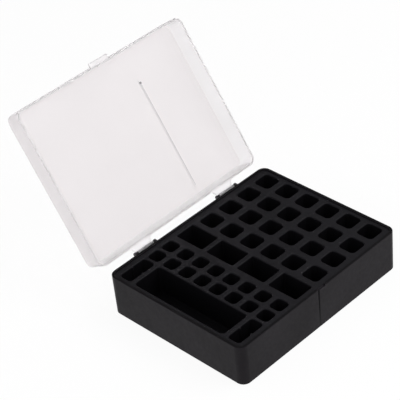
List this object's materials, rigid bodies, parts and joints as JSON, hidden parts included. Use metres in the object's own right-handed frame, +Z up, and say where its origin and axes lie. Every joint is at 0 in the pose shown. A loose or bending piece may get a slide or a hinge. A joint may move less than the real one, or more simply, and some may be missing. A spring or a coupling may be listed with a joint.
{
  "type": "battery storage case",
  "caption": "Flat black battery storage box with a deck of rounded battery pockets and a translucent tray-shaped lid on two rear hinges.",
  "frame": {"origin": "middle of the base's flat underside", "axes": "+X along the hinge line, +Y towards the hinge side, +Z up; the row rests on its underside with the lid open"},
  "size_m": [0.1702, 0.2269, 0.1484],
  "materials": {
    "base_black": "satin",
    "deck_black": "satin",
    "pin_black": "satin",
    "lid_translucent": "satin"
  },
  "bodies": {
    "base": {"base_shell": "base_black", "long_ribs": "deck_black", "aa_cross_ribs": "deck_black", "aa_rib_roots": "deck_black", "aaa_cross_ribs": "deck_black", "aaa_rib_roots": "deck_black", "block_cross_ribs": "deck_black", "block_rib_roots": "deck_black", "bay_cross_ribs": "deck_black", "bay_rib_roots": "deck_black", "bay_floor": "deck_black", "double_pocket_floors": "deck_black", "aaa_floors": "deck_black", "block_floors": "deck_black", "waist_points": "deck_black", "hinge_pin_left": "pin_black", "hinge_pin_right": "pin_black"},
    "lid": {"lid": "lid_translucent"}
  },
  "joints": [
    {"name": "lid_hinge", "type": "hinge", "parent": "base", "child": "lid", "pos_m": [0, 0.0691, 0.0333], "axis": [1, 0, 0], "range_deg": [0, 123.5]}
  ]
}
